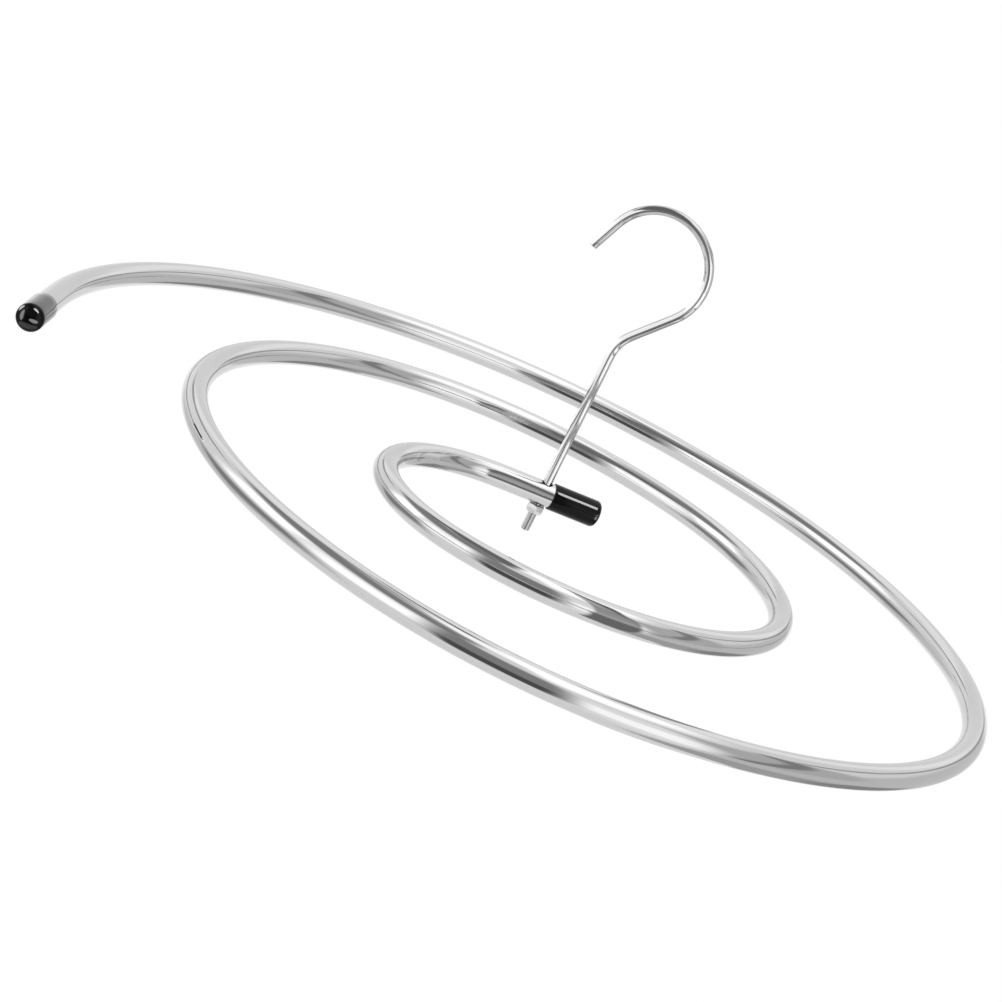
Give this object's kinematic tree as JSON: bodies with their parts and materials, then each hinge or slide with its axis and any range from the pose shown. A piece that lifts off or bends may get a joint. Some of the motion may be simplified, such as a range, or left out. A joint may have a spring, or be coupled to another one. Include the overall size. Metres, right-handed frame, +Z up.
{
  "type": "spiral drying rack",
  "caption": "Flat spiral of stainless tube for drying sheets and quilts, turning on the straight shank of a wire hook that hangs over a rail.",
  "frame": {"origin": "the rail seat, the highest point inside the hook's round, where the rail bears", "axes": "+Z up the shank, which lies on the Z axis; the hook lies in the XZ plane and opens towards -X; the spiral lies flat 159 mm below the origin and winds outwards anticlockwise seen from above"},
  "size_m": [0.5178, 0.497, 0.186],
  "materials": {
    "tube_steel": "polished stainless tube",
    "wire_steel": "polished stainless wire",
    "nut_steel": "bright stainless nut",
    "cap_plastic": "glossy black moulded plastic"
  },
  "bodies": {
    "hook": {"hanging_hook": "wire_steel", "hex_nut": "nut_steel"},
    "spiral": {"spiral_tube": "tube_steel", "inner_end_cap": "cap_plastic", "outer_end_cap": "cap_plastic"}
  },
  "joints": [
    {"name": "swivel", "type": "hinge", "parent": "hook", "child": "spiral", "pos_m": [0, 0, -0.159], "axis": [0, 0, 1], "continuous": true}
  ]
}
